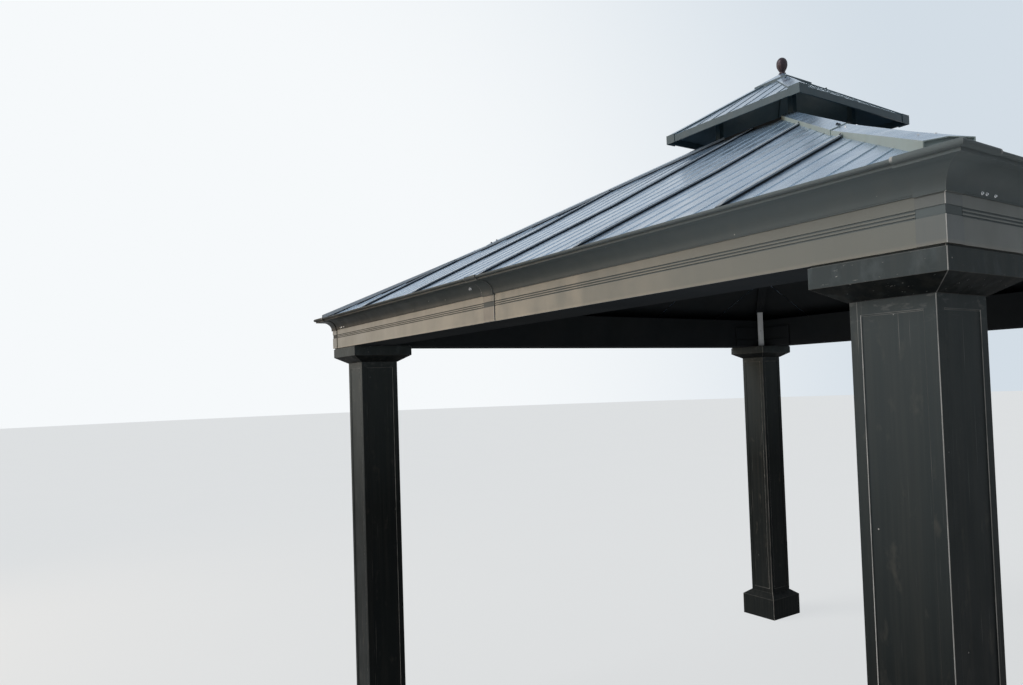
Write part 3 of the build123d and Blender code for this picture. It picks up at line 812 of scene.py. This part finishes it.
def screw_tree():
    """Geometry Nodes that put a hexagon washer-head screw on each point, facing its own way."""
    tree = bpy.data.node_groups.new("washer_head_screws", "GeometryNodeTree")
    for name, kind in (
        ("Points", "Geometry"), ("Head", "Float"), ("Head Height", "Float"), ("Washer", "Float"),
        ("Washer Height", "Float"), ("Seed", "Int"), ("Material", "Material"),
    ):
        tree.interface.new_socket(name, in_out="INPUT", socket_type="NodeSocket" + kind)
    tree.interface.new_socket("Screws", in_out="OUTPUT", socket_type="NodeSocketGeometry")
    nodes = Nodes(tree)
    given = nodes.add("NodeGroupInput").outputs

    def tapered(part, corners):
        """The head or the washer, 12 per cent narrower at its top."""
        return nodes.add("GeometryNodeMeshCone", {
            "Vertices": corners, "Radius Top": nodes.times(given[part], 0.44),
            "Radius Bottom": nodes.times(given[part], 0.5), "Depth": given[part + " Height"],
        }, fill_type="NGON").outputs["Mesh"]

    washer = tapered("Washer", 20)
    lift = nodes.add("ShaderNodeCombineXYZ", {"Z": given["Washer Height"]}).outputs[0]
    head = nodes.add("GeometryNodeTransform", {"Geometry": tapered("Head", 6), "Translation": lift})
    screw = nodes.add("GeometryNodeJoinGeometry")
    nodes.put(screw, 0, washer)
    nodes.put(screw, 0, head.outputs[0])
    facing = nodes.add("GeometryNodeInputNamedAttribute", {"Name": "facing"}, data_type="FLOAT_VECTOR")
    aimed = nodes.add(
        "FunctionNodeAlignRotationToVector", {"Vector": facing.outputs["Attribute"]}, axis="Z")
    turn = nodes.add(
        "FunctionNodeRandomValue", {"Min": 0.0, "Max": math.radians(60), "Seed": given["Seed"]},
        data_type="FLOAT")
    spin = nodes.add("FunctionNodeAxisAngleToRotation", {"Angle": turn.outputs[1]})
    turned = nodes.add(
        "FunctionNodeRotateRotation", {"Rotation": aimed.outputs[0], "Rotate By": spin.outputs[0]},
        rotation_space="LOCAL")
    placed = nodes.add("GeometryNodeInstanceOnPoints", {
        "Points": given["Points"], "Instance": screw.outputs[0], "Rotation": turned.outputs[0]})
    real = nodes.add("GeometryNodeRealizeInstances", {"Geometry": placed.outputs[0]})
    painted = nodes.add(
        "GeometryNodeSetMaterial", {"Geometry": real.outputs[0], "Material": given["Material"]})
    nodes.add("NodeGroupOutput", {"Screws": painted.outputs[0]})
    return tree


def quarter_turns(places):
    """Points and their facings, repeated by quarter turns round the gazebo's middle."""
    turns = [Matrix.Rotation(quarter * math.pi / 2, 3, "Z") for quarter in range(4)]
    return [(turn @ point, turn @ facing) for turn in turns for point, facing in places]


def on_roof(x, half, lift):
    """A point over the front slope and the slope's own facing."""
    slope = LOWER_SLOPE if half > BEND_HALF else UPPER_SLOPE
    facing = Vector((0, -slope, 1)).normalized()
    return Vector((x, -half, roof_height(half))) + facing * lift, facing


def screws(name, places, material, size):
    """One mesh of screws at (point, facing) places, size times the usual screw."""
    settings = bpy.context.scene.gazebo_screws
    points = bpy.data.meshes.new(name + "_points")
    points.from_pydata([point for point, _ in places], [], [])
    facing = points.attributes.new("facing", "FLOAT_VECTOR", "POINT")
    for i, (_, direction) in enumerate(places):
        facing.data[i].vector = direction.normalized()
    draft = linked(name + "_points", points)
    tree = bpy.data.node_groups.get("washer_head_screws") or screw_tree()
    modifier = draft.modifiers.new("screws", "NODES")
    modifier.node_group = tree
    set_inputs(modifier, tree, {
        "Head": settings.head * size,
        "Head Height": settings.head_height * size,
        "Washer": settings.washer * size,
        "Washer Height": settings.washer_height * size,
        "Seed": settings.seed,
        "Material": material,
    })
    return keep(evaluated_mesh(draft, name), name)


# Operators


class GAZEBO_OT_stage(bpy.types.Operator):
    """Camera, floor, background and soft light"""

    bl_idname = "gazebo.stage"
    bl_label = "Stage"

    def execute(self, context):
        stage = context.scene.gazebo_stage
        self.camera(context)
        self.floor(stage)
        self.world(context, stage)
        key = bpy.data.lights.new("key_light", "SUN")
        key.energy = stage.key_strength
        key.angle = stage.key_angle
        self.place_lamp(key, KEY_PLACE, (0.0, 0.0, 0.0))
        for name, place, target, size, hex_colour, spread in SOFT_LAMPS:
            lamp = bpy.data.lights.new(f"{name}_light", "AREA")
            lamp.energy = getattr(stage, f"{name}_power")
            lamp.size = size
            lamp.spread = math.radians(spread)
            lamp.color = linear(hex_colour)
            self.place_lamp(lamp, place, target)
        return {"FINISHED"}

    def camera(self, context):
        """The photograph's viewing angle."""
        data = bpy.data.cameras.new("camera")
        data.sensor_width = SENSOR_WIDTH_MM
        data.lens = CAMERA_FOCAL_PIXELS / PHOTO_WIDTH * SENSOR_WIDTH_MM
        data.shift_x = -CAMERA_SHIFT_PIXELS[0] / PHOTO_WIDTH
        data.shift_y = CAMERA_SHIFT_PIXELS[1] / PHOTO_WIDTH
        camera = linked("camera", data)
        turn = (
            Matrix.Rotation(-CAMERA_YAW, 4, "Z") @ Matrix.Rotation(math.pi / 2 + CAMERA_PITCH, 4, "X")
            @ Matrix.Rotation(CAMERA_ROLL, 4, "Z"))
        camera.matrix_world = Matrix.Translation(CAMERA_PLACE) @ turn
        context.scene.camera = camera

    def floor(self, stage):
        """A plain pale round floor."""
        coat = Finish("pale_floor")
        tone = coat.clouds(1.5, 3.0, 0.3, 0.7)
        coat.colour = coat.mixed(tone, shade(stage.floor, 0.98), shade(stage.floor, 1.02))
        material = coat.finished({"Roughness": 0.9, "Specular IOR Level": 0.1})
        # Seen rays get mostly an even glow, so that the floor meets the background without an edge
        glow = coat.add("ShaderNodeEmission", {"Color": shade(stage.bright_sky, 0.97), "Strength": 1.0})
        seen = coat.times(coat.seen_rays(), FLOOR_GLOW_SHARE)
        coat.put(coat.output, "Surface", coat.blended(seen, coat.shader, glow))
        shape = bmesh.new()
        bmesh.ops.create_circle(shape, cap_ends=True, radius=stage.floor_radius, segments=96)
        floor = linked("floor", mesh_of(shape, "floor", material))

    def world(self, context, stage):
        """Even light, with a pale background for the camera and for reflections, brighter to the left."""
        world = bpy.data.worlds.new("studio")
        world.use_nodes = True
        world.node_tree.nodes.clear()
        nodes = Nodes(world.node_tree)
        light = nodes.add("ShaderNodeBackground", {"Color": (1, 1, 1, 1), "Strength": stage.ambient})
        direction = nodes.add("ShaderNodeTexCoord").outputs["Generated"]
        left = nodes.spread(nodes.axes(direction)["X"], *SKY_TURN, steps="SMOOTHSTEP")
        sky = nodes.mixed(left, shade(stage.background), shade(stage.bright_sky))
        backdrop = nodes.add("ShaderNodeBackground", {"Color": sky, "Strength": 1.0})
        both = nodes.blended(nodes.seen_rays(), light, backdrop)
        nodes.add("ShaderNodeOutputWorld", {"Surface": both})
        context.scene.world = world
        context.scene.view_settings.view_transform = "Standard"

    def place_lamp(self, data, place, target):
        """Puts a lamp at a point and turns it to another."""
        lamp = linked(data.name, data)
        lamp.location = place
        lamp.visible_camera = False
        lamp.rotation_euler = (Vector(target) - Vector(place)).to_track_quat("-Z", "Y").to_euler()


class GAZEBO_OT_columns(bpy.types.Operator):
    """Columns with their plinths and capitals"""

    bl_idname = "gazebo.columns"
    bl_label = "Columns"

    def execute(self, context):
        edge = context.scene.gazebo_edges.column
        coat = [column_coat()]
        stained_and_shaded = [capital_coat(), shaded_taper_coat()]
        for corner in CORNERS:
            rounded_copy(f"column_{corner}", edge, coat, rub=self.rub)
            rounded_copy(f"plinth_{corner}", edge, coat, rub=self.rub)
            # The capitals' downward faces take the half-colour coat as painted shade
            rounded_copy(
                f"capital_{corner}", edge, stained_and_shaded, pick=underside, rub=self.rub)
        return {"FINISHED"}

    def rub(self, centre, normal):
        """The panels' upright folds toward an outer corner are worn and painted with a highlight,
        level folds a little.
        """
        if abs(normal.z) > 0.2:
            return 0.16
        inset = COLUMN_CORNER - COLUMN_AXIS - max(
            abs(abs(centre.x) - COLUMN_AXIS), abs(abs(centre.y) - COLUMN_AXIS))
        outward = normal.x * centre.x if abs(normal.y) > abs(normal.x) else normal.y * centre.y
        return 1.0 if outward > 0.05 and inset < 1.5 * MM else 0.0


class GAZEBO_OT_frame_members(bpy.types.Operator):
    """Beams, rafters, the top ring and the inner corners"""

    bl_idname = "gazebo.frame_members"
    bl_label = "Frame Members"

    def execute(self, context):
        edges = context.scene.gazebo_edges
        coat = frame_coat()
        for side in SIDES:
            rounded_copy(f"beam_{side}", edges.beam, [coat])
        for node in ("hip_rafters", "mid_rafters", "top_ring", "inner_corner_covers"):
            rounded_copy(node, edges.column, [coat])
        rounded_copy("foot_brackets", edges.column, [mill_aluminium()])
        return {"FINISHED"}


class GAZEBO_OT_cornice(bpy.types.Operator):
    """The eaves moulding with its corner and joint covers"""

    bl_idname = "gazebo.cornice"
    bl_label = "Cornice"

    def execute(self, context):
        edges = context.scene.gazebo_edges
        cove = cove_shade_coat()
        finishes = [frieze_coat(), cove]
        for side in SIDES:
            rounded_copy(
                f"cornice_{side}", edges.moulding, finishes,
                pick=moulding_faces(FRIEZE_HALF), rub=self.rub)
        for place, tone in (("corner", 1.0), ("joint", 0.72)):
            rounded_copy(
                f"{place}_covers", edges.cover, [cover_coat(place, tone), cove],
                pick=moulding_faces(COVER_HALF))
        return {"FINISHED"}

    def rub(self, centre, normal):
        """Only the lip's upper edge is a little worn, with a painted highlight."""
        return 0.1 if centre.z > LIP_TOP - 6 * MM else 0.0


class GAZEBO_OT_lower_roof(bpy.types.Operator):
    """Ribbed panels, standing seams and hip caps"""

    bl_idname = "gazebo.lower_roof"
    bl_label = "Lower Roof"

    def execute(self, context):
        edge = context.scene.gazebo_edges.roof
        under = bpy.data.materials["black_powder_coat"]
        seam = seam_coat()
        cap_side = lit_cap_side_coat()
        ribs = lit_rib_side_coat()
        sheets = {"x": roof_coat("x"), "y": roof_coat("y")}
        for side in SIDES:
            run = "y" if side in ("front", "back") else "x"
            rounded_copy(
                f"roof_panels_{side}", edge, [sheets[run], under, ribs], pick=panel_faces)
            rounded_copy(f"seam_caps_{side}", edge, [seam])
        # Two hips' side walls carry a painted reflection, the other two painted shade
        for node in ("hip_caps_lower", "hip_caps_upper"):
            rounded_copy(node, edge, [sheets["x"], under, cap_side, seam], pick=hip_faces)
        # The end flaps take the side walls' painted-reflection coat
        self.cap_ends(cap_side)
        return {"FINISHED"}

    def cap_ends(self, finish):
        """The lower ends of the hip caps, closed by a turned-down flap."""
        outline = (
            (-CAP_FOOT_REACH, 1.0 * MM), (-CAP_FOOT_REACH, 24.0 * MM), (0.0, 29.0 * MM),
            (CAP_FOOT_REACH, 24.0 * MM), (CAP_FOOT_REACH, 1.0 * MM), (0.0, 15.0 * MM))
        shape = bmesh.new()
        for quarter in range(4):
            turn = Matrix.Rotation(quarter * math.pi / 2, 3, "Z")
            faces = []
            for inset in (3.0 * MM, 5.0 * MM):
                half = CAP_FOOT_HALF - inset
                foot = EAVES_TOP + LOWER_SLOPE * inset
                faces.append([
                    shape.verts.new(turn @ Vector((half + s, -half + s, foot + up))) for s, up in outline])
            skin(shape, faces)
        bmesh.ops.recalc_face_normals(shape, faces=shape.faces)
        keep(mesh_of(shape, "hip_cap_ends", finish), "hip_cap_ends")


class GAZEBO_OT_upper_roof(bpy.types.Operator):
    """Panels, fascia, caps and posts of the small upper roof"""

    bl_idname = "gazebo.upper_roof"
    bl_label = "Upper Roof"

    def execute(self, context):
        edge = context.scene.gazebo_edges.roof
        sheet = bpy.data.materials["blue_grey_roof_coat_x"]
        trim = trim_coat()
        ribs = bpy.data.materials["stretched_roof_coat"]
        rounded_copy("cupola_panels", edge, [sheet, trim, ribs], pick=upper_faces)
        for node in ("cupola_hip_caps", "apex_cap"):
            rounded_copy(node, edge, [sheet, trim, trim], pick=cap_faces)
        rounded_copy("vent_posts", edge, [trim])
        for node in ("cupola_fascia", "cupola_corner_caps"):
            rounded_copy(node, edge, [trim])
        return {"FINISHED"}


class GAZEBO_OT_finial(bpy.types.Operator):
    """The cast finial: an egg in a cup of petals"""

    bl_idname = "gazebo.finial"
    bl_label = "Finial"

    rings = 56
    around = 108
    # Shares of the height where the collar and the neck end, and of the egg where it is widest
    collar = 0.1
    neck = 0.16
    waist = 0.56
    # The neck's share of the width, and how far the cup stands out
    neck_share = 0.42
    cup_lift = 0.6 * MM

    def execute(self, context):
        shape = bmesh.new()
        skin(shape, [
            [
                shape.verts.new(self.point(i / self.rings, 2 * math.pi * k / self.around))
                for k in range(self.around)
            ]
            for i in range(self.rings + 1)
        ])
        bmesh.ops.remove_doubles(shape, verts=shape.verts, dist=0.02 * MM)
        bmesh.ops.recalc_face_normals(shape, faces=shape.faces)
        for face in shape.faces:
            face.smooth = True
        piece = keep(
            mesh_of(shape, "finial_casting", cast_bronze_coat()), "finial_casting")
        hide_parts("finial")
        return {"FINISHED"}

    def point(self, share, angle):
        """A point of the casting's skin at a share of its height and an angle round it."""
        settings = bpy.context.scene.gazebo_finial
        width = (finial_high.x - finial_low.x) / 2
        if share < self.collar:
            radius = width * (0.6 + 0.08 * math.sin(math.pi * share / self.collar))
        elif share < self.neck:
            radius = width * self.neck_share
        else:
            t = (share - self.neck) / (1 - self.neck)
            if t < self.waist:
                swell = math.sin(math.pi / 2 * t / self.waist) ** 0.9
                radius = width * (self.neck_share + (1 - self.neck_share) * swell)
            else:
                radius = width * math.sqrt(max(0.0, 1 - ((t - self.waist) / (1 - self.waist)) ** 2))
            petal = abs(math.sin(settings.petals * angle / 2)) ** 0.6
            if t < settings.cup_share * (0.72 + 0.28 * petal):
                radius += settings.petal_depth * (petal - 0.6) + self.cup_lift
            radius = min(radius, width)
        height = finial_low.z + share * (finial_high.z - finial_low.z)
        return Vector((radius * math.cos(angle), radius * math.sin(angle), height))


class GAZEBO_OT_screws(bpy.types.Operator):
    """Screws of the covers, caps and brackets"""

    bl_idname = "gazebo.screws"
    bl_label = "Screws"

    def execute(self, context):
        zinc = zinc_plate()
        painted = bpy.data.materials["black_powder_coat"]
        groups = (
            ("seam_nose_screws", self.nose_screws(), zinc, 0.45),
            ("cap_lap_screws", self.beside_hip(LAP_SCREWS), painted, 0.8),
            ("cap_foot_screws", self.beside_hip(FOOT_SCREWS), zinc, 0.6),
            ("seam_top_screws", self.seam_top_screws(), painted, 0.7),
            ("corner_cover_screws", self.cove_screws(*CORNER_COVER_SCREWS), zinc, 0.5),
            ("joint_cover_screws", self.cove_screws(*JOINT_COVER_SCREWS), zinc, 0.9),
            ("upper_cap_screws", self.upper_cap_screws(), painted, 0.8),
            ("bracket_screws", self.bracket_screws(), zinc, 0.8),
        )
        for name, places, material, size in groups:
            screws(name, quarter_turns(places), material, size)
        return {"FINISHED"}

    def nose_screws(self):
        """One beside the nose of each seam."""
        return [on_roof(x + NOSE_SCREW_OFFSET, EAVES_HALF - NOSE_SCREW_INSET, 0.0) for x in SEAMS]

    def beside_hip(self, steps):
        """Places to either side of the right hip and the left one, at (distance out, lift) steps."""
        places = []
        for half, lift in steps:
            point, facing = on_roof(half - HIP_SCREW_OFFSET, half, lift)
            places.append((point, facing))
            places.append((Vector((-point.x, point.y, point.z)), facing))
        return places

    def seam_top_screws(self):
        """One on the hip cap's side wall over the top of each outer seam."""
        places = []
        for x in SEAMS:
            if x:
                point, _ = on_roof(x, abs(x) + CAP_SIDE_REACH, SEAM_TOP_SCREW_LIFT)
                places.append((point, Vector((-math.copysign(1, x), -1, 0))))
        return places

    def cove_screws(self, height, places):
        """On the cove at a height, beside a cover."""
        turn = math.asin((height - COVE_AXIS_HEIGHT) / COVE_RADIUS)
        facing = Vector((0, -math.cos(turn), -math.sin(turn)))
        return [
            (Vector((x, -COVE_AXIS_HALF, COVE_AXIS_HEIGHT)) - facing * COVE_RADIUS, facing) for x in places]

    def upper_cap_screws(self):
        """One near the top of each hip cap of the upper roof."""
        half = UPPER_CAP_SCREW_HALF
        height = UPPER_ROOF_FOOT + UPPER_ROOF_SLOPE * (UPPER_HALF - half)
        facing = Vector((0, -UPPER_ROOF_SLOPE, 1)).normalized()
        point = Vector((half - UPPER_CAP_SCREW_OFFSET, -half, height))
        return [(point + facing * UPPER_CAP_SCREW_LIFT, facing)]

    def bracket_screws(self):
        """One on each unpainted aluminium bracket, on the face that looks to the middle."""
        middle = BRACKET_FACE - BRACKET_SCREW_INSET
        return [(Vector((middle, -middle, BRACKET_SCREW_HEIGHT)), Vector((-1, 1, 0)))]


class GAZEBO_PT_sidebar(bpy.types.Panel):
    """Lists the gazebo's settings and steps"""

    bl_idname = "GAZEBO_PT_sidebar"
    bl_label = "Gazebo"
    bl_space_type = "VIEW_3D"
    bl_region_type = "UI"
    bl_category = "Gazebo"

    def draw(self, context):
        for step in STEPS:
            self.layout.operator(step.bl_idname)
        for name in PROPERTY_GROUPS:
            box = self.layout.box()
            group = getattr(context.scene, name)
            for prop in group.bl_rna.properties:
                if prop.identifier not in ("name", "rna_type"):
                    box.prop(group, prop.identifier)


STEPS = (
    GAZEBO_OT_stage,
    GAZEBO_OT_columns,
    GAZEBO_OT_frame_members,
    GAZEBO_OT_cornice,
    GAZEBO_OT_lower_roof,
    GAZEBO_OT_upper_roof,
    GAZEBO_OT_finial,
    GAZEBO_OT_screws,
)
CLASSES = (*PROPERTY_GROUPS.values(), *STEPS, GAZEBO_PT_sidebar)


def register():
    for kind in CLASSES:
        bpy.utils.register_class(kind)
    for name, group in PROPERTY_GROUPS.items():
        setattr(bpy.types.Scene, name, bpy.props.PointerProperty(type=group))


def unregister():
    for name in PROPERTY_GROUPS:
        delattr(bpy.types.Scene, name)
    for kind in reversed(CLASSES):
        bpy.utils.unregister_class(kind)


def main():
    """Makes every piece in order."""
    register()
    for step in STEPS:
        group, name = step.bl_idname.split(".")
        getattr(getattr(bpy.ops, group), name)()


if __name__ == "__main__":
    main()
